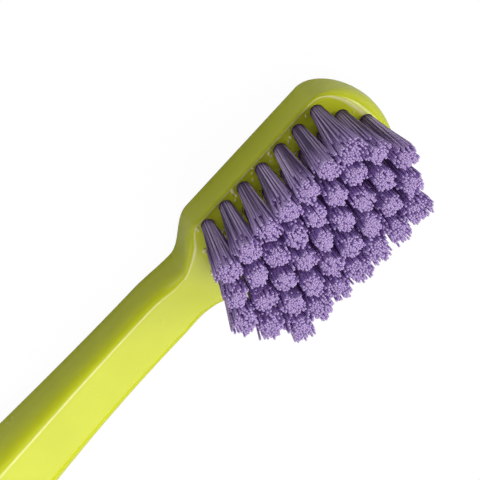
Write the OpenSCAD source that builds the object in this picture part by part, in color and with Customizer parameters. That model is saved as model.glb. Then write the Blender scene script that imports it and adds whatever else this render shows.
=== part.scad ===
// Manual toothbrush: a handle, neck and head moulded in one piece, with five
// lengthwise columns of bristle tufts in the face of the head. Each tuft is a
// bundle of filaments, folded over a flat metal anchor and driven into its own
// blind hole.
// The brush lies on its back, which is flat from end to end. +X points to the
// toe of the head, +Z to the bristle tips, and the origin is under the middle
// of the brush.
// All sizes are in millimetres.

/* [Overall] */
// Length from the toe of the head to the end of the handle
overall_l = 175; // [150:1:200]

/* [Hole field] */
// Diameter of a tuft hole
hole_d = 1.4; // [1.2:0.05:1.6]
// Depth of a tuft hole
hole_depth = 3.4; // [2.8:0.1:4.2]
// Distance from hole to hole along a column
row_pitch = 2.45; // [2.3:0.05:3]
// Distance from one column to the next
column_gap = 2.22; // [2.1:0.02:2.8]
// Number of holes in the middle column, each column outward has one less
middle_holes = 9; // [6:1:11]

/* [Tufts] */
// Height of the bristles above the face of the head
bristle_h = 10; // [8:0.5:12]
// Diameter of a tuft at its tip
tip_d = 2.3; // [1.8:0.05:2.4]
// How far the tufts at the toe and the heel lean out at their tips
end_splay = 0.4; // [0:0.05:0.8]
// How far the outer columns lean out at their tips
side_splay = 0.25; // [0:0.05:0.6]
// Height of the folded filaments under an anchor
fold_h = 0.4; // [0.3:0.05:0.6]
// Bevel around the folded end of a tuft
fold_bevel = 0.2; // [0.1:0.05:0.25]

/* [Anchors] */
// Thickness of the flat anchor
anchor_t = 0.25; // [0.2:0.01:0.35]
// Height of the flat anchor
anchor_h = 1.5; // [1:0.1:1.8]
// How far an anchor cuts into the plastic on each side of its hole
anchor_bite = 0.2; // [0.1:0.05:0.3]

/* [Head] */
// Plastic between the outer holes and the edge of the face
rim_wall = 0.17; // [0.15:0.01:0.6]
// Plastic under the tuft holes
back_wall = 2; // [1.4:0.1:2.4]
// Size of the edge along the sides of the face
face_edge = 0.22; // [0.1:0.01:0.3]
// How much wider the head is at the toe than at the heel, on each side
toe_flare = 0.22; // [0:0.02:0.4]
// How far the toe stands out beyond the edge of the face
toe_roll = 0.8; // [0.3:0.1:1.2]
// Size of the bevel along the back of the head
back_bevel = 1.15; // [0.8:0.05:1.4]
// Size of that bevel around the toe
toe_back_bevel = 1.8; // [1:0.1:2]
// Length over which the sides of the head draw in to the waist
heel_l = 5; // [4:0.1:8]

/* [Neck] */
// Width of the waist behind the head
waist_w = 5.5; // [4.6:0.1:6]
// Width of the neck behind the waist
neck_w = 6.1; // [5:0.1:7]
// Length over which the neck widens again behind the waist
waist_l = 5; // [3:0.5:8]
// How far the front of the neck dips below the face of the head
neck_dip = 0.85; // [0:0.05:1.2]
// Length over which the face runs down into that dip
dip_l = 6; // [3:0.1:7]
// Size of the bevel along the front of the neck
neck_bevel = 0.75; // [0.5:0.05:1.1]
// Size of the bevel along the back of the neck
neck_back_bevel = 0.4; // [0.2:0.05:0.8]
// Length over which the neck grows to the full section of the grip
neck_l = 54; // [40:1:60]

/* [Grip] */
// Width of the grip across its flats
grip_w = 11; // [9:0.1:13]
// Thickness of the grip across its flats
grip_t = 9; // [8:0.1:11]
// Size of the four bevels along the grip
grip_bevel = 2.4; // [1.8:0.1:2.8]
// Width of the handle where its end begins to round
butt_w = 9.6; // [8:0.1:11]
// Length over which the grip narrows to that width
tail_l = 40; // [25:1:50]
// Length of the rounded end
butt_l = 7; // [4:0.5:10]

/* [Fits] */
// Clearance of a tuft in its hole and of an anchor in its fold and slot
fit_gap = 0.02; // [0.01:0.01:0.04]

/* [Hidden] */
// One letter for each column, from the +Y edge of the head to the other
column_letters = "abcde";
middle_column = (len(column_letters) - 1) / 2;

function holes_in(c) = middle_holes - abs(c - middle_column);
function tuft_name(c, r) = str("tuft_", column_letters[c], r + 1);
function anchors_name(c) = str("anchors_", column_letters[c]);

// How far a cut runs past the surface that it opens
overrun = 0.5;
// How far the free part of a tuft reaches down into the folded part
root_h = 0.3;
// Width of the free part of a tuft there, against the folded part
root_share = 0.94;
// How much of a bevel's size is taken off each of its two edges
edge_share = 0.25;
// Fullness of the rounded outlines: 2 is an ellipse, more is squarer
toe_fullness = 1.9;
face_fullness = 2.3;
butt_fullness = 2.3;
// Share of the heel over which the bevel of the neck opens
bevel_opening_share = 0.4;
// Steps along each part of the moulding
cap_steps = 12;
tail_steps = 5;
neck_steps = 14;
waist_steps = 5;
heel_steps = 14;
$fn = 48;

// Places along the brush
toe_x = overall_l / 2;
face_toe_x = toe_x - toe_roll;
field_x = face_toe_x - rim_wall - hole_d / 2 - (middle_holes - 1) / 2 * row_pitch;
side_half_l = (holes_in(0) - 1) / 2 * row_pitch;
shoulder_x = field_x + side_half_l;
heel_x = field_x - side_half_l - hole_d / 2;
waist_x = heel_x - heel_l;
face_end_x = field_x - (middle_holes - 1) / 2 * row_pitch - hole_d / 2 - rim_wall;
dip_x = face_end_x - dip_l;
neck_x = waist_x - waist_l;
grip_x = neck_x - neck_l;
butt_x = butt_l - overall_l / 2;
tail_x = butt_x + tail_l;

// Half widths
face_half_w = middle_column * column_gap + hole_d / 2 + rim_wall;
head_half_w = face_half_w + face_edge;

// Heights above the flat back
hole_floor_z = back_wall;
face_z = hole_floor_z + hole_depth;
neck_front_z = face_z - neck_dip;
anchor_z = hole_floor_z + fold_h;

// Widths that follow from the hole
tuft_d = hole_d - 2 * fit_gap;
anchor_w = hole_d + 2 * anchor_bite;

// Place of a hole
function hole_x(c, r) = field_x + (r - (holes_in(c) - 1) / 2) * row_pitch;
function hole_y(c) = (middle_column - c) * column_gap;

// A smooth change from one value to another between two places
function step_share(t) = t <= 0 ? 0 : t >= 1 ? 1 : t * t * (3 - 2 * t);
function ease(x, x0, x1, v0, v1) = v0 + (v1 - v0) * step_share((x - x0) / (x1 - x0));

// The moulding at a place x along the brush
function half_width(x) = ease(x, butt_x, tail_x, butt_w / 2, grip_w / 2)
    + ease(x, grip_x, neck_x, 0, (neck_w - grip_w) / 2)
    + ease(x, neck_x, waist_x, 0, (waist_w - neck_w) / 2)
    + ease(x, waist_x, heel_x, 0, head_half_w - waist_w / 2)
    + (x > heel_x ? toe_flare * (x - heel_x) / (shoulder_x - heel_x) : 0);
function front_z(x) = ease(x, grip_x, dip_x, grip_t, neck_front_z)
    + ease(x, dip_x, face_end_x, 0, neck_dip);
function front_bevel(x) = ease(x, grip_x, dip_x, grip_bevel, neck_bevel)
    + ease(x, heel_x - heel_l * bevel_opening_share, heel_x, 0, face_edge - neck_bevel);
function rear_bevel(x) = ease(x, grip_x, dip_x, grip_bevel, neck_back_bevel)
    + ease(x, waist_x, heel_x, 0, back_bevel - neck_back_bevel);

// The levels of the moulding from back to front: 0 for the back or 1 for the
// front, then the shares of the bevel that the level lies in from the side and
// in from the flat
levels = [
    [0, 1 + edge_share, 0],
    [0, 1 - edge_share, edge_share],
    [0, edge_share, 1 - edge_share],
    [0, 0, 1 + edge_share],
    [1, 0, 1 + edge_share],
    [1, edge_share, 1 - edge_share],
    [1, 1 - edge_share, edge_share],
    [1, 1 + edge_share, 0]
];

// Stations from the end of the handle to the toe: the place where the station
// starts, the way its outline curves off from there (-1 to the end of the
// handle, 1 to the toe), and the angle along that curve, 0 at its tip
function span(x0, x1, steps) = [for (i = [0:steps - 1]) x0 + (x1 - x0) * i / steps];
straight_xs = concat(
    span(butt_x, tail_x, tail_steps),
    span(tail_x, grip_x, 1),
    span(grip_x, neck_x, neck_steps),
    span(neck_x, waist_x, waist_steps),
    span(waist_x, heel_x, heel_steps),
    [heel_x, shoulder_x]
);
stations = concat(
    [for (i = [0:cap_steps - 1]) [butt_x, -1, 90 * i / cap_steps]],
    [for (x = straight_xs) [x, 0, 90]],
    [for (i = [1:cap_steps]) [shoulder_x, 1, 90 - 90 * i / cap_steps]]
);

// How far in from the side, and down from the flat, the bevel goes at a station
function bevel_in(x, front) = front ? front_bevel(x) : rear_bevel(x);
function toe_bevel(front) = front ? toe_roll : toe_back_bevel;
function bevel_down(s, front) = bevel_in(s[0], front)
    + (s[1] == 1 ? (toe_bevel(front) - bevel_in(s[0], front)) * cos(s[2]) ^ 2 : 0);

// How far a rounded end reaches at a level, and how full its outline is there
function reach(s, front, share) = s[1] == 1
    ? toe_x - shoulder_x - share * toe_bevel(front)
    : butt_l - share * grip_bevel;
function fullness(s, front, share) = s[1] == 1
    ? toe_fullness + (front ? share * (face_fullness - toe_fullness) : 0)
    : butt_fullness;

// The point of a station at a level, on the +Y side for side 1 and on the
// other for side -1
function body_point(s, level, side) = let (
    front = level[0] == 1,
    bend = 2 / fullness(s, front, level[1]),
    x = s[0] + s[1] * reach(s, front, level[1]) * cos(s[2]) ^ bend,
    y = (half_width(s[0]) - level[1] * bevel_in(s[0], front)) * sin(s[2]) ^ bend,
    down = level[2] * bevel_down(s, front)
) [x, side * y, front ? front_z(s[0]) - down : down];

// The moulding as rings around its levels, closed by a flat back and front
last = len(stations) - 1;
ring = 2 * last;
body_points = [for (level = levels) each concat(
    [for (i = [0:last]) body_point(stations[i], level, 1)],
    [for (i = [last - 1:-1:1]) body_point(stations[i], level, -1)]
)];
side_faces = [for (k = [0:len(levels) - 2]) for (i = [0:ring - 1]) let (
    a = k * ring + i,
    b = k * ring + (i + 1) % ring
) each [[a, b, b + ring], [a, b + ring, a + ring]]];
function cap_face(i) = i == 0 ? [0, 1, ring - 1]
    : i == last - 1 ? [i, last, last + 1]
    : [i, i + 1, ring - i - 1, ring - i];
back_faces = [for (i = [0:last - 1]) let (f = cap_face(i)) [for (j = [len(f) - 1:-1:0]) f[j]]];
front_faces = [for (i = [0:last - 1]) [for (v = cap_face(i)) v + (len(levels) - 1) * ring]];

// The bore of one hole, with the slot that its anchor cuts on the way down
module hole_cut() {
    translate([0, 0, hole_floor_z])
        cylinder(d = hole_d, h = hole_depth + overrun);
    translate([-anchor_w / 2, -anchor_t / 2 - fit_gap, anchor_z - fit_gap])
        cube([anchor_w, anchor_t + 2 * fit_gap, face_z + overrun - anchor_z + fit_gap]);
}

// Handle, neck and head in one moulding of lime green plastic
module handle_body() {
    color([0.80, 0.87, 0.25])
        difference() {
            polyhedron(body_points, concat(side_faces, back_faces, front_faces), convexity = 6);
            for (c = [0:len(column_letters) - 1]) for (r = [0:holes_in(c) - 1])
                translate([hole_x(c, r), hole_y(c), 0])
                    hole_cut();
        }
}

// The part of a tuft inside its hole, with the window that the anchor sits in
module folded_end() {
    fold_z = hole_floor_z + fit_gap;
    difference() {
        union() {
            translate([0, 0, fold_z])
                cylinder(d1 = tuft_d - 2 * fold_bevel, d2 = tuft_d, h = fold_bevel);
            translate([0, 0, fold_z + fold_bevel])
                cylinder(d = tuft_d, h = face_z - fold_z - fold_bevel);
        }
        translate([-anchor_w / 2, -anchor_t / 2 - fit_gap, anchor_z - fit_gap])
            cube([anchor_w, anchor_t + 2 * fit_gap, anchor_h + 2 * fit_gap]);
    }
}

// One tuft of lavender filaments, which widens to its tip and leans outward
module tuft(c, r) {
    lean_x = end_splay * ((hole_x(c, r) - field_x) / ((middle_holes - 1) / 2 * row_pitch)) ^ 3;
    lean_y = side_splay * hole_y(c) / hole_y(0);
    color([0.64, 0.52, 0.78])
        translate([hole_x(c, r), hole_y(c), 0]) {
            folded_end();
            translate([0, 0, face_z])
                rotate([-atan(lean_y / bristle_h), atan(lean_x / bristle_h), 0])
                    translate([0, 0, -root_h])
                        cylinder(d1 = tuft_d * root_share, d2 = tip_d, h = root_h + bristle_h);
        }
}

// The flat metal anchors of one column, one for each of its tufts
module anchors(c) {
    color([0.80, 0.68, 0.40])
        for (r = [0:holes_in(c) - 1])
            translate([hole_x(c, r) - anchor_w / 2, hole_y(c) - anchor_t / 2, anchor_z])
                cube([anchor_w, anchor_t, anchor_h]);
}

handle_body();
for (c = [0:len(column_letters) - 1]) {
    for (r = [0:holes_in(c) - 1])
        tuft(c, r);
    anchors(c);
}
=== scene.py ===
"""A manual toothbrush that lies on its back with its bristles up."""
import math
import random

import bmesh
import bpy
from mathutils import Matrix, Vector


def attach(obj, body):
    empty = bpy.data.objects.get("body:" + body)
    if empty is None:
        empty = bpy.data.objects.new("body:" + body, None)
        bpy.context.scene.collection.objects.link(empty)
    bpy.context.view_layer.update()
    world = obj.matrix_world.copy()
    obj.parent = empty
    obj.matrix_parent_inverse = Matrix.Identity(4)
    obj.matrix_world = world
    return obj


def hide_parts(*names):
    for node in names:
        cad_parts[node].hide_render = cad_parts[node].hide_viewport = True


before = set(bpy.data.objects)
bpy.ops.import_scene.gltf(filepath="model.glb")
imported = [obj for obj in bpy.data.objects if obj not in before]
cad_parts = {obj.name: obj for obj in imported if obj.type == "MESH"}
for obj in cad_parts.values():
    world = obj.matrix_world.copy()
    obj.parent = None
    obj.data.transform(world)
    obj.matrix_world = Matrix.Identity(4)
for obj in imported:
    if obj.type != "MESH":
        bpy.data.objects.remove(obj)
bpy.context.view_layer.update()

# ---------------------------------------------------------------- moulding
# The handle, neck and head are one piece of lime green polypropylene, moulded
# lying flat, with 39 blind holes in the face of the head. Sizes are given in
# millimetres, and each finished mesh is scaled to metres.
toe_x, shoulder_x, heel_x, waist_x, neck_x = 87.5, 83.38, 67.98, 62.98, 57.98
face_end_x, dip_x, grip_x, tail_x, butt_x, butt_l = 65.365, 59.365, 3.98, -40.5, -80.5, 7.0
face_z, neck_z, grip_z = 5.4, 4.55, 9.0
head_half_w, toe_flare, waist_half_w = 5.53, 0.22, 2.75
neck_half_w, grip_half_w, butt_half_w = 3.05, 5.5, 4.8

# Sizes of the rounded edges, which end in a roll at the toe
face_edge, neck_edge, grip_edge, face_edge_x = 0.22, 0.75, 2.4, heel_x - 2
head_back_edge, neck_back_edge = 1.15, 0.4
waist_pinch, pinch_start_x, pinch_x, pinch_end_x = 0.32, waist_x - 2, waist_x + 1, heel_x - 1.5
toe_roll, toe_drop, toe_back_roll = 1.0, 1.5, 2.1
toe_fullness, face_fullness, butt_fullness = 1.9, 2.3, 2.3
edge_reach, side_pull, flat_run, plain_hold = 1.25, 0.72, 0.45, 0.55

# The crease along the front edge starts behind the neck and ends at the toe
crease_start_x, crease_full_x, crease_fade_l = 20, 50, 3
crease_angle, crease_depth, crease_hold = math.radians(9), 1.9, 0.3


def eased(x, x0, x1, v0, v1):
    """A smooth change from v0 to v1 between two places along the brush."""
    t = min(max((x - x0) / (x1 - x0), 0.0), 1.0)
    return v0 + (v1 - v0) * t * t * (3 - 2 * t)


def half_width(x):
    """Half the width of the brush, up to the shoulder of its toe."""
    width = (eased(x, butt_x, tail_x, butt_half_w, grip_half_w)
             + eased(x, grip_x, neck_x, 0, neck_half_w - grip_half_w)
             + eased(x, neck_x, waist_x, 0, waist_half_w - neck_half_w)
             + eased(x, waist_x, heel_x, 0, head_half_w - waist_half_w))
    return width + (toe_flare * (x - heel_x) / (shoulder_x - heel_x) if x > heel_x else 0)


def front_z(x):
    """The height of the front, over the flat back."""
    return (eased(x, grip_x, dip_x, grip_z, neck_z)
            + eased(x, dip_x, face_end_x, 0, face_z - neck_z))


def front_edge(x):
    """The size of the front's rounded edge, which tightens round the waist."""
    return (eased(x, grip_x, dip_x, grip_edge, neck_edge)
            - eased(x, pinch_start_x, pinch_x, 0, waist_pinch)
            + eased(x, pinch_x, pinch_end_x, 0, waist_pinch)
            + eased(x, face_edge_x, heel_x, 0, face_edge - neck_edge))


def back_edge(x):
    """The size of the back's rounded edge."""
    return (eased(x, grip_x, dip_x, grip_edge, neck_back_edge)
            + eased(x, waist_x, heel_x, 0, head_back_edge - neck_back_edge))


def rounding(t, lean, hold):
    """How far in from the side and down from the flat a rounded edge lies, as
    shares of its size. It leaves the side smoothly and meets the flat at the
    angle lean, which it holds for longer where hold is large. Past t = 1 it
    runs on in the flat."""
    if t > 1:
        return edge_reach + flat_run * (t - 1), 0.0
    a, b, c, d = (1 - t) ** 3, 3 * t * (1 - t) ** 2, 3 * t * t * (1 - t), t ** 3
    return (c * (edge_reach - hold * math.cos(lean)) + d * edge_reach,
            a * edge_reach + b * side_pull + c * hold * math.sin(lean))


def skin_point(station, place):
    """A point of the skin at a station along the brush and a place round it."""
    x0, way, angle = station
    side, front, t = place
    creased = (eased(x0, crease_start_x, crease_full_x, 0, 1)
               * eased(x0, shoulder_x - crease_fade_l, shoulder_x, 1, 0)) if front else 0
    share_in, share_down = rounding(t, crease_angle * creased, plain_hold + crease_hold * creased)
    share_down *= 1 + (crease_depth - 1) * creased
    edge = front_edge(x0) if front else back_edge(x0)
    s, c = max(math.sin(angle), 0), max(math.cos(angle), 0)
    if way > 0:
        roll, drop = (toe_roll, toe_drop) if front else (toe_back_roll, toe_back_roll)
        reach = toe_x - shoulder_x - share_in * roll
        fullness = toe_fullness + (share_in * (face_fullness - toe_fullness) if front else 0)
        down = share_down * (edge + (drop - edge) * c * c)
    else:
        reach = butt_l - share_in * grip_edge
        fullness = butt_fullness
        down = share_down * edge
    x = x0 + way * reach * c ** (2 / fullness)
    y = (half_width(x0) - share_in * edge) * s ** (2 / fullness)
    return Vector((x, side * y, front_z(x0) - down if front else down))


def along(x0, x1, count):
    """Stations square across the brush, evenly from x0 on and short of x1."""
    return [(x0 + (x1 - x0) * i / count, 0, math.pi / 2) for i in range(count)]


# The skin is a grid, wrapped round the brush from the butt to the toe
butt_steps, toe_steps = 28, 36
stations = ([(butt_x, -1, math.pi / 2 * i / butt_steps) for i in range(butt_steps)]
            + along(butt_x, tail_x, 16) + along(tail_x, grip_x, 6) + along(grip_x, neck_x, 44)
            + along(neck_x, waist_x, 14) + along(waist_x, heel_x, 32)
            + along(heel_x, shoulder_x, 16)
            + [(shoulder_x, 1, math.pi / 2 * (1 - i / toe_steps)) for i in range(toe_steps + 1)])
edge_end_t, painted_line_end_t, middle_t = 1, 1.3, 2
back_steps = [i / 9 for i in range(9)] + [edge_end_t, middle_t]
front_steps = [i / 12 for i in range(12)] + [edge_end_t, painted_line_end_t, middle_t]
places = ([(1, False, t) for t in reversed(back_steps)] + [(1, True, t) for t in front_steps]
          + [(-1, True, t) for t in reversed(front_steps)] + [(-1, False, t) for t in back_steps])
places.append(places[0])

# A fine pale line of painted highlight runs along the crease at the near edge of the neck and
# round the head
painted_highlight_on_neck, painted_highlight_on_head = 0.55, 0.8
merge_gap = 0.0005
skin = bmesh.new()
bmesh.ops.create_grid(skin, x_segments=len(stations) - 1, y_segments=len(places) - 1, size=0.5)
whitening_and_painted_highlight = skin.verts.layers.float.new("whitening_and_painted_highlight")
for v in skin.verts:
    i = round((v.co.x + 0.5) * (len(stations) - 1))
    j = round((v.co.y + 0.5) * (len(places) - 1))
    v.co = skin_point(stations[i], places[j])
    side, front, t = places[j]
    if front and (t == edge_end_t or t == painted_line_end_t and v.co.x > waist_x):
        # The painted highlight lies on the near edge of the neck only, and on both edges of the
        # head
        near_painted_highlight = painted_highlight_on_neck if side > 0 else 0
        v[whitening_and_painted_highlight] = (eased(v.co.x, crease_start_x, crease_full_x, 0, near_painted_highlight)
                       + eased(v.co.x, waist_x, heel_x, 0, painted_highlight_on_head - near_painted_highlight))
bmesh.ops.remove_doubles(skin, verts=skin.verts, dist=merge_gap)
bmesh.ops.dissolve_degenerate(skin, edges=skin.edges, dist=merge_gap)
bmesh.ops.recalc_face_normals(skin, faces=skin.faces)

# The holes: five lengthwise columns of 7, 8, 9, 8 and 7, staggered by half a
# pitch, each 1.4 mm wide and 3.4 mm deep, with a pocket for its flat anchor.
field_x, row_pitch, column_gap = 76.03, 2.45, 2.22
hole_d, hole_floor_z, bore_l, pocket_play = 1.4, 2.0, 4, 0.04
anchor_bottom_z, anchor_top_z, anchor_half_l, anchor_half_t = 2.4, 3.9, 0.9, 0.125
holes = {}
for column, letter in enumerate("abcde"):
    rows = 9 - abs(column - 2)
    for row in range(rows):
        holes[f"{letter}{row + 1}"] = (field_x + (row - (rows - 1) / 2) * row_pitch,
                                       (2 - column) * column_gap)

bores, pockets = bmesh.new(), bmesh.new()
pocket_size = Vector((2 * anchor_half_l, 2 * anchor_half_t + pocket_play,
                      anchor_top_z - anchor_bottom_z + pocket_play))
for x, y in holes.values():
    bmesh.ops.create_cone(bores, cap_ends=True, segments=40, radius1=hole_d / 2,
                          radius2=hole_d / 2, depth=bore_l,
                          matrix=Matrix.Translation((x, y, hole_floor_z + bore_l / 2)))
    bmesh.ops.create_cube(pockets, size=1, matrix=Matrix.LocRotScale(
        Vector((x, y, (anchor_bottom_z + anchor_top_z) / 2)), None, pocket_size))


def loose_object(name, bm):
    """A new object in the scene of a mesh under construction, which is freed."""
    mesh = bpy.data.meshes.new(name)
    bm.to_mesh(mesh)
    bm.free()
    obj = bpy.data.objects.new(name, mesh)
    bpy.context.scene.collection.objects.link(obj)
    return obj


blank = loose_object("blank", skin)
cutters = [loose_object("bores", bores), loose_object("pockets", pockets)]
for cutter in cutters:
    cut = blank.modifiers.new(cutter.name, "BOOLEAN")
    cut.operation, cut.solver, cut.object = "DIFFERENCE", "EXACT", cutter
drilled = bmesh.new()
drilled.from_object(blank, bpy.context.evaluated_depsgraph_get())
for obj in [blank] + cutters:
    bpy.data.objects.remove(obj)

# Slivers of flash stand on the face by the holes, most on their heel side,
# where the tufting tool has scraped the plastic. They are smaller at the toe.
sliver_r, sliver_l, sliver_w, sliver_h = 0.12, 2.9, 1.6, 2.4
sliver_spots = ((1.12, 146, 1.0), (1.02, 160, 0.7), (1.1, -12, 0.75), (0.95, 118, 0.5))
rim_gap, bare_share, toe_rows_x, toe_sliver = 0.25, 0.2, (80.5, 83), 0.5
whitening_and_painted_highlight = drilled.verts.layers.float["whitening_and_painted_highlight"]
dice = random.Random(7)
for x, y in holes.values():
    for reach, heading, size in sliver_spots:
        heading = math.radians(heading + dice.gauss(0, 9))
        middle = Vector((x + reach * math.cos(heading), y + reach * math.sin(heading), face_z))
        if abs(middle.y) > head_half_w - rim_gap or dice.random() < bare_share:
            continue
        size *= dice.uniform(0.7, 1.1) * eased(x, *toe_rows_x, 1, toe_sliver)
        turn = Matrix.Rotation(heading + dice.uniform(0.6, 1.6), 3, "Z").to_quaternion()
        lump = bmesh.ops.create_icosphere(
            drilled, subdivisions=1, radius=sliver_r, matrix=Matrix.LocRotScale(
                middle, turn, Vector((sliver_l * size, sliver_w * size, sliver_h * size))))
        for v in lump["verts"]:
            v.co += Vector((dice.gauss(0, 0.015), dice.gauss(0, 0.015), dice.gauss(0, 0.02)))
            v[whitening_and_painted_highlight] = 1


def piece(name, bm, finish, slot, *nodes):
    """Makes a piece in metres of a mesh in millimetres, in place of CAD nodes."""
    bmesh.ops.scale(bm, vec=(0.001,) * 3, verts=bm.verts)
    for face in bm.faces:
        face.smooth = True
    obj = loose_object(name, bm)
    obj.data.materials.append(finish)
    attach(obj, "root")
    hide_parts(*nodes)
    return obj


def srgb(r, g, b):
    """A colour written as it looks on a screen, from 0 to 255."""
    return tuple(((v / 255 + 0.055) / 1.055) ** 2.4 if v > 10 else v / 255 / 12.92
                 for v in (r, g, b)) + (1.0,)


def mottle_group():
    """Soft cloudy variation from 0 to 1 that every finish of the brush uses."""
    group = bpy.data.node_groups.new("mottle", "ShaderNodeTree")
    face = group.interface
    face.new_socket("Place", in_out="INPUT", socket_type="NodeSocketVector")
    face.new_socket("Patches per metre", in_out="INPUT", socket_type="NodeSocketFloat")
    face.new_socket("Contrast", in_out="INPUT", socket_type="NodeSocketFloat")
    face.new_socket("Mottle", in_out="OUTPUT", socket_type="NodeSocketFloat")
    nodes, links = group.nodes, group.links
    given, out = nodes.new("NodeGroupInput"), nodes.new("NodeGroupOutput")
    noise = nodes.new("ShaderNodeTexNoise")
    noise.inputs["Detail"].default_value = 4
    noise.inputs["Roughness"].default_value = 0.6
    centred = nodes.new("ShaderNodeMath")
    centred.operation, centred.inputs[1].default_value = "SUBTRACT", 0.5
    scaled = nodes.new("ShaderNodeMath")
    scaled.operation, scaled.inputs[2].default_value = "MULTIPLY_ADD", 0.5
    scaled.use_clamp = True
    links.new(given.outputs["Place"], noise.inputs["Vector"])
    links.new(given.outputs["Patches per metre"], noise.inputs["Scale"])
    links.new(noise.outputs["Fac"], centred.inputs[0])
    links.new(centred.outputs[0], scaled.inputs[0])
    links.new(given.outputs["Contrast"], scaled.inputs[1])
    links.new(scaled.outputs[0], out.inputs["Mottle"])
    return group


mottle = mottle_group()


def new_finish(name):
    """A material, its nodes and links, its shader, and the place on the brush."""
    mat = bpy.data.materials.new(name)
    mat.use_nodes = True
    nodes = mat.node_tree.nodes
    place = nodes.new("ShaderNodeTexCoord").outputs["Object"]
    return mat, nodes, mat.node_tree.links, nodes["Principled BSDF"], place


def add_mottle(nodes, links, place, patches, contrast):
    """Cloudy patches, so many to the metre."""
    cloud = nodes.new("ShaderNodeGroup")
    cloud.node_tree = mottle
    cloud.inputs["Patches per metre"].default_value = patches
    cloud.inputs["Contrast"].default_value = contrast
    links.new(place, cloud.inputs["Place"])
    return cloud.outputs["Mottle"]


def add_attribute(nodes, name):
    """The share from 0 to 1 that each corner of the mesh carries under a name."""
    carried = nodes.new("ShaderNodeAttribute")
    carried.attribute_name = name
    return carried.outputs["Fac"]


def add_mix(nodes, links, share, low, high):
    """A mix of two colours, each given outright or by another node."""
    mix = nodes.new("ShaderNodeMix")
    mix.data_type = "RGBA"
    for end, colour in (("A", low), ("B", high)):
        if isinstance(colour, tuple):
            mix.inputs[end].default_value = colour
        else:
            links.new(colour, mix.inputs[end])
    links.new(share, mix.inputs["Factor"])
    return mix.outputs["Result"]


def add_range(nodes, links, share, low, high):
    """A number that goes from low to high as the share goes from 0 to 1."""
    spread = nodes.new("ShaderNodeMapRange")
    spread.inputs["To Min"].default_value, spread.inputs["To Max"].default_value = low, high
    links.new(share, spread.inputs["Value"])
    return spread.outputs["Result"]


def add_bump(nodes, links, shader, height, distance):
    """Fine unevenness of the surface, so many metres deep."""
    bump = nodes.new("ShaderNodeBump")
    bump.inputs["Distance"].default_value = distance
    bump.inputs["Strength"].default_value = 1
    links.new(height, bump.inputs["Height"])
    links.new(bump.outputs["Normal"], shader.inputs["Normal"])


lime, nodes, links, shader, place = new_finish("lime_polypropylene")
colour = add_mix(nodes, links, add_mottle(nodes, links, place, 90, 2.0),
                 srgb(197, 204, 28), srgb(207, 214, 38))
# The pale colour is stress whitening on the flash slivers, and a painted highlight along the
# crease lines
colour = add_mix(nodes, links, add_attribute(nodes, "whitening_and_painted_highlight"), colour, srgb(242, 236, 172))
links.new(colour, shader.inputs["Base Color"])
links.new(add_range(nodes, links, add_mottle(nodes, links, place, 400, 1.0), 0.22, 0.3),
          shader.inputs["Roughness"])
add_bump(nodes, links, shader, add_mottle(nodes, links, place, 700, 0.8), 0.000002)

moulding = piece("handle_moulding", drilled, lime, "body_plastic", "handle_body")
moulding.data.set_sharp_from_angle(angle=math.radians(55))

# ---------------------------------------------------------------- filaments
# Each tuft is a bundle of lavender nylon filaments, folded in half over a flat
# anchor, driven into its hole, and trimmed and ground round at the tips.
filament_r, filaments_per_tuft = 0.112, 54
tip_z, bundle_r, fan_r, end_splay, side_splay = 15.4, 0.64, 1.04, 0.4, 0.25

# How much wider each column fans, and the tufts that stretch or lean on their own
column_fan = {"a": 0.08, "b": 0.04, "c": 0, "d": 0.06, "e": 0.31}
stretched = {"a7": (1.36, 1.06), "c1": (1.22, 1.22), "d1": (1.3, 1.3)}
leaning = {"a7": (-0.17, -0.45), "d1": (-0.12, 0.14)}

# The rings of each arm from its tip down: the share of its height, and its thickness
arm_rings = [(1, 1), (0.993, 1), (0.55, 0.78), (0, 0.54)]
root_thickness, root_width, root_flat, fold_drop, straightness = 0.52, 0.8, 0.5, 0.16, 0.86

# How the filaments differ: their reach, the strays, the short ones, and the painted streaks of
# highlight and shade
golden_angle, fan_spread, trim_spread, tip_spread = 2.39996, 0.03, 0.03, 0.01
oval, lobed, clump_count, clump_pull = 0.12, 0.07, 9, 0.12
stray_share, stray_min, stray_max = 0.2, 0.08, 0.24
short_share, short_at_rim, short_min, short_max, crown = 0.08, 0.58, 0.25, 2.0, 0.3
streak_count, streak_middle, streak_swing, streak_spread = 19, 0.29, 0.6, 0.16

lavender, nodes, links, shader, place = new_finish("lavender_nylon")
split = nodes.new("ShaderNodeSeparateXYZ")
links.new(place, split.inputs[0])
share_up = nodes.new("ShaderNodeMapRange")
share_up.inputs["From Min"].default_value = face_z * 0.001
share_up.inputs["From Max"].default_value = tip_z * 0.001
links.new(split.outputs["Z"], share_up.inputs["Value"])
share_up = share_up.outputs["Result"]


def add_ramp(nodes, links, share, stops):
    """Colours at their shares from 0 to 1, the first and last at the ends."""
    ramp = nodes.new("ShaderNodeValToRGB")
    links.new(share, ramp.inputs[0])
    for end, (up, colour) in ((0, stops[0]), (1, stops[-1])):
        ramp.color_ramp.elements[end].position = up
        ramp.color_ramp.elements[end].color = colour
    for up, colour in stops[1:-1]:
        ramp.color_ramp.elements.new(up).color = colour
    return ramp.outputs["Color"]


# Painted shade darkens the shafts towards the root, and painted light brightens them towards the
# tips
depth = add_ramp(nodes, links, share_up, (
    (0, srgb(56, 40, 72)), (0.16, srgb(150, 114, 186)), (0.65, srgb(158, 124, 196)),
    (0.93, srgb(196, 170, 226)), (1, srgb(216, 198, 238))))
tone_and_painted_streaks = add_mix(nodes, links, add_attribute(nodes, "filament_tone_and_painted_streaks"),
              srgb(44, 22, 68), srgb(222, 202, 242))
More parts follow.
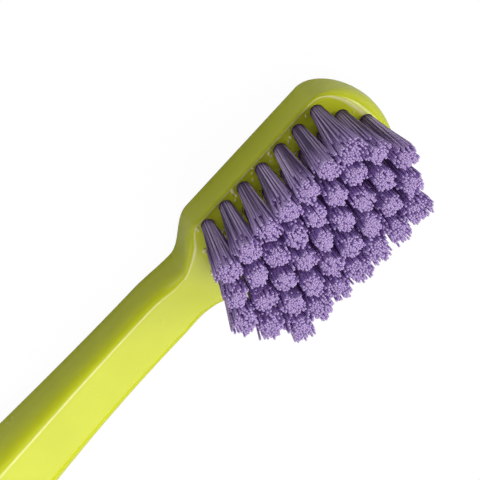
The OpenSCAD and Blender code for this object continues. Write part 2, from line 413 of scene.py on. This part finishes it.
# The tones and painted streaks show along the shafts, and give way to the painted shade in the
# root and the painted light towards the tip
fade = add_ramp(nodes, links, share_up, [
    (up, (share,) * 3 + (1,)) for up, share in ((0, 0.85), (0.13, 0.08), (0.55, 0.08), (1, 0.97))])
colour = add_mix(nodes, links, fade, tone_and_painted_streaks, depth)
colour = add_mix(nodes, links, add_attribute(nodes, "ground_tip"), colour, srgb(174, 150, 199))
links.new(colour, shader.inputs["Base Color"])
links.new(add_range(nodes, links, share_up, 0.3, 0.65), shader.inputs["Roughness"])
# A faint purple glow is painted into all the nylon, standing in for the light that it carries down
# from its tips, so the gaps between the tufts stay purple
shader.inputs["Emission Color"].default_value = srgb(58, 28, 82)
shader.inputs["Emission Strength"].default_value = 0.15
add_bump(nodes, links, shader, add_mottle(nodes, links, place, 9000, 2.0), 0.000004)

# One folded filament as a straight closed tube, to be bent into each place.
rings = 2 * len(arm_rings) + 3
straight = bmesh.new()
bmesh.ops.create_cone(straight, cap_ends=True, segments=6, radius1=1, radius2=1, depth=1)
long_edges = [e for e in straight.edges if abs(e.verts[0].co.z - e.verts[1].co.z) > 0.5]
bmesh.ops.subdivide_edges(straight, edges=long_edges, cuts=rings - 2)
straight_mesh = bpy.data.meshes.new("straight_filament")
straight.to_mesh(straight_mesh)
straight.free()
spots = [(round((v.co.z + 0.5) * (rings - 1)), v.co.x, v.co.y) for v in straight_mesh.vertices]

for name, (hole_x, hole_y) in holes.items():
    dice = random.Random(name)
    lean = Vector((end_splay * ((hole_x - field_x) / (4 * row_pitch)) ** 3,
                   side_splay * hole_y / (2 * column_gap))) + Vector(leaning.get(name, (0, 0)))
    stretch = Vector(stretched.get(name, (1, 1)))
    # Even places over a disc, paired across the anchor into folded filaments
    turn = dice.uniform(0, math.tau)
    disc = []
    for k in range(2 * filaments_per_tuft):
        r, a = math.sqrt((k + 0.5) / (2 * filaments_per_tuft)), turn + k * golden_angle
        disc.append(Vector((r * math.cos(a), r * math.sin(a))))
    disc.sort(key=lambda p: p.y)
    fan = fan_r * dice.uniform(0.94, 1.06) + column_fan[name[0]]
    lobes = [dice.uniform(0, math.tau) for _ in range(2)]
    clumps = [Vector((dice.uniform(-1, 1), dice.uniform(-1, 1))) for _ in range(clump_count)]
    halves = [sorted(disc[:filaments_per_tuft], key=lambda p: p.x),
              sorted(disc[filaments_per_tuft:], key=lambda p: p.x)]
    tuft = bmesh.new()
    tone_and_streak_layer = tuft.verts.layers.float.new("filament_tone_and_painted_streaks")
    tips = tuft.verts.layers.float.new("ground_tip")
    for k in range(filaments_per_tuft):
        path, shades = [], []
        for half, u in enumerate((halves[1][k], halves[0][k])):
            way = 1 - 2 * half
            heading, rim = math.atan2(u.y, u.x), u.length ** 3
            reach = fan * (1 + dice.gauss(0, fan_spread) + oval * math.sin(2 * heading + lobes[0])
                           + lobed * math.sin(5 * heading + lobes[1]))
            if dice.random() < stray_share * rim:
                reach += dice.uniform(stray_min, stray_max)
            short = abs(dice.gauss(0, trim_spread))
            if dice.random() < short_share + short_at_rim * rim:
                short += dice.uniform(short_min, short_max)
            # Light and dark tones alternate round the tuft as painted streaks of highlight and
            # shade, standing in for the filaments' glints and the dark gaps between them; the
            # random part is tone that differs from filament to filament
            shade = (streak_middle + streak_swing * math.sin(streak_count * heading + lobes[1])
                     + dice.gauss(0, streak_spread))
            shades.append(min(max(shade, 0), 1))
            near = min(clumps, key=lambda c: (c - u).length)
            at = lean + u * reach * stretch + (near - u) * clump_pull
            top = Vector((hole_x + at.x + dice.gauss(0, tip_spread),
                          hole_y + at.y + dice.gauss(0, tip_spread),
                          tip_z - short - crown * u.length_squared ** 2))
            foot = Vector((hole_x + u.x * bundle_r, hole_y + u.y * bundle_r, face_z))
            squeezed = max(anchor_half_t + filament_r, abs(u.y) * root_flat)
            packed = Vector((hole_x + u.x * bundle_r * root_width,
                             hole_y + way * squeezed, anchor_bottom_z))
            arm = []
            for share, thickness in arm_rings:
                bow = share * (straightness + (1 - straightness) * share)
                arm.append((Vector((foot.x + (top.x - foot.x) * bow,
                                    foot.y + (top.y - foot.y) * bow,
                                    foot.z + (top.z - foot.z) * share)), thickness, 180 * half))
            arm.append((packed, root_thickness, 180 * half))
            if half == 1:
                fold = (path[-1][0] + packed) / 2 - Vector((0, 0, fold_drop))
                path.append((fold, root_thickness, 90))
                arm.reverse()
            path += arm
        first = len(tuft.verts)
        tuft.from_mesh(straight_mesh)
        tuft.verts.ensure_lookup_table()
        for (ring, a, b), v in zip(spots, tuft.verts[first:]):
            centre, thickness, roll = path[ring]
            r, roll = filament_r * thickness, math.radians(roll)
            v.co = centre + Vector((a * r, b * r * math.cos(roll), b * r * math.sin(roll)))
            v[tone_and_streak_layer] = shades[0] if ring < rings / 2 else shades[1]
            v[tips] = 1 if ring in (0, rings - 1) else 0
    bmesh.ops.recalc_face_normals(tuft, faces=tuft.faces)
    piece(f"filaments_{name}", tuft, lavender, "bristle_nylon", f"tuft_{name}")
bpy.data.meshes.remove(straight_mesh)

# ---------------------------------------------------------------- anchors
# A flat anchor of pale brass strip holds each tuft. It is cut from the strip
# and driven in across its hole, so only the CAD solids stand for it.
brass, nodes, links, shader, place = new_finish("pale_brass")
colour = add_mix(nodes, links, add_mottle(nodes, links, place, 2500, 2.0),
                 srgb(196, 170, 104), srgb(222, 200, 140))
links.new(colour, shader.inputs["Base Color"])
shader.inputs["Metallic"].default_value = 1
links.new(add_range(nodes, links, add_mottle(nodes, links, place, 6000, 2.0), 0.3, 0.5),
          shader.inputs["Roughness"])
for letter in "abcde":
    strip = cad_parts[f"anchors_{letter}"]
    strip.data.materials.clear()
    strip.data.materials.append(brass)

# ---------------------------------------------------------------- studio
# The brush lies on a plain pale floor, under a dim sky and six softboxes. Most
# of the floor's colour is white light that the camera alone sees, and the rest
# keeps the shadow.
floor_size, floor_z, white_share, white_strength = 3, -0.00005, 0.94, 1.03
floor_bm = bmesh.new()
bmesh.ops.create_grid(floor_bm, x_segments=1, y_segments=1, size=floor_size)
floor = loose_object("floor", floor_bm)
floor.location.z = floor_z
pale = bpy.data.materials.new("pale_floor")
pale.use_nodes = True
nodes, links = pale.node_tree.nodes, pale.node_tree.links
nodes["Principled BSDF"].inputs["Base Color"].default_value = srgb(188, 188, 188)
nodes["Principled BSDF"].inputs["Roughness"].default_value = 0.9
seen = nodes.new("ShaderNodeLightPath")
share = nodes.new("ShaderNodeMath")
share.operation, share.inputs[1].default_value = "MULTIPLY", white_share
glow = nodes.new("ShaderNodeEmission")
glow.inputs["Strength"].default_value = white_strength
blend = nodes.new("ShaderNodeMixShader")
links.new(seen.outputs["Is Camera Ray"], share.inputs[0])
links.new(share.outputs[0], blend.inputs[0])
links.new(nodes["Principled BSDF"].outputs[0], blend.inputs[1])
links.new(glow.outputs[0], blend.inputs[2])
links.new(blend.outputs[0], nodes["Material Output"].inputs["Surface"])
floor.data.materials.append(pale)

# The sky is dimmer at the horizon than overhead, and white to the camera
horizon_light, overhead_light = 0.03, 0.12
sky = bpy.data.worlds.new("sky")
bpy.context.scene.world = sky
sky.use_nodes = True
nodes, links = sky.node_tree.nodes, sky.node_tree.links
seen = nodes.new("ShaderNodeLightPath")
split = nodes.new("ShaderNodeSeparateXYZ")
links.new(nodes.new("ShaderNodeTexCoord").outputs["Generated"], split.inputs[0])
strength = nodes.new("ShaderNodeMath")
strength.operation = "MAXIMUM"
links.new(add_range(nodes, links, split.outputs["Z"], horizon_light, overhead_light),
          strength.inputs[0])
links.new(seen.outputs["Is Camera Ray"], strength.inputs[1])
links.new(strength.outputs[0], nodes["Background"].inputs["Strength"])
nodes["Background"].inputs["Color"].default_value = (1, 1, 1, 1)

# Each softbox looks at the head from its direction, its length along the brush
lamp_target, lamp_distance = Vector((0.06, 0, 0.005)), 0.7
for name, toward, length, width, power in (
        ("top_strip", (0.0, -0.08, 1), 0.9, 0.16, 1.1),
        ("far_softbox", (-0.1, -0.57, 0.82), 0.9, 0.42, 2.6),
        ("toe_softbox", (0.75, -0.4, 0.55), 0.3, 0.3, 2.2),
        ("handle_softbox", (-0.65, 0.74, 0.12), 0.5, 0.4, 0.95),
        ("crease_light", (-0.02, -0.16, 0.97), 0.3, 0.1, 1.1),
        ("viewer_fill", (0.1, 0.47, 0.87), 0.3, 0.3, 0.68)):
    lamp = bpy.data.lights.new(name, "AREA")
    lamp.shape, lamp.size, lamp.size_y, lamp.energy = "RECTANGLE", length, width, power
    softbox = bpy.data.objects.new(name, lamp)
    bpy.context.scene.collection.objects.link(softbox)
    aim = Vector(toward).normalized()
    softbox.location = lamp_target + aim * lamp_distance
    softbox.rotation_euler = aim.to_track_quat("Z", "Y").to_euler()

# The camera of the photograph, fitted to the grid of tufts
camera = bpy.data.objects.new("camera", bpy.data.cameras.new("camera"))
bpy.context.scene.collection.objects.link(camera)
right = Vector((0.68469942, -0.68744915, 0.24207515))
down = Vector((-0.70935402, -0.55231164, 0.43791407))
forward = Vector((-0.16734273, -0.47155649, -0.86581227))
pose = Matrix((right, -down, -forward)).transposed().to_4x4()
pose.translation = Vector((90.315, 59.545, 113.041)) * 0.001
camera.matrix_world = pose
camera.data.lens, camera.data.sensor_width, camera.data.clip_start = 98.36, 36, 0.01
bpy.context.scene.camera = camera
bpy.context.scene.view_settings.view_transform = "Standard"
